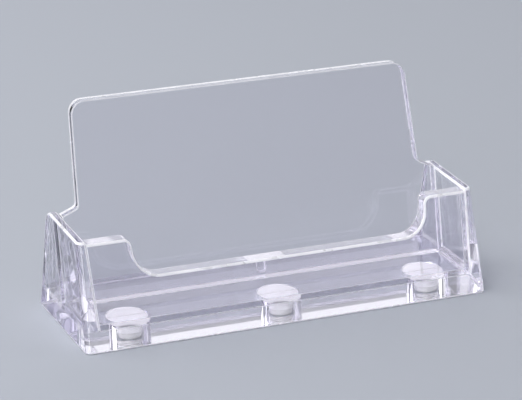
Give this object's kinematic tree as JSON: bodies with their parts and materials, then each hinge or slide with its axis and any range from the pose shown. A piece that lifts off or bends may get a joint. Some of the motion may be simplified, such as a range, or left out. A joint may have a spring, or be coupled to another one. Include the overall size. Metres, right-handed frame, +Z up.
{
  "type": "desktop card holder",
  "caption": "Clear acrylic desk holder: leaning front and back panels between wedge-shaped end walls on a base plate, with a finger dip in the front and white grip pads below.",
  "frame": {"origin": "centre of the base plate's footprint, on the desk", "axes": "+X to the right along the width, +Y to the rear, +Z up; the front faces -Y"},
  "size_m": [0.1046, 0.0356, 0.0516],
  "materials": {
    "clear_acrylic": "clear, polished",
    "white_adhesive": "matt white foam",
    "grip_rubber": "matt"
  },
  "bodies": {
    "root": {"base_plate": "clear_acrylic", "left_side_wall": "clear_acrylic", "right_side_wall": "clear_acrylic", "front_panel": "clear_acrylic", "back_panel": "clear_acrylic", "left_adhesive_disc": "white_adhesive", "middle_adhesive_disc": "white_adhesive", "right_adhesive_disc": "white_adhesive", "left_grip_pad": "grip_rubber", "middle_grip_pad": "grip_rubber", "right_grip_pad": "grip_rubber"}
  },
  "joints": []
}
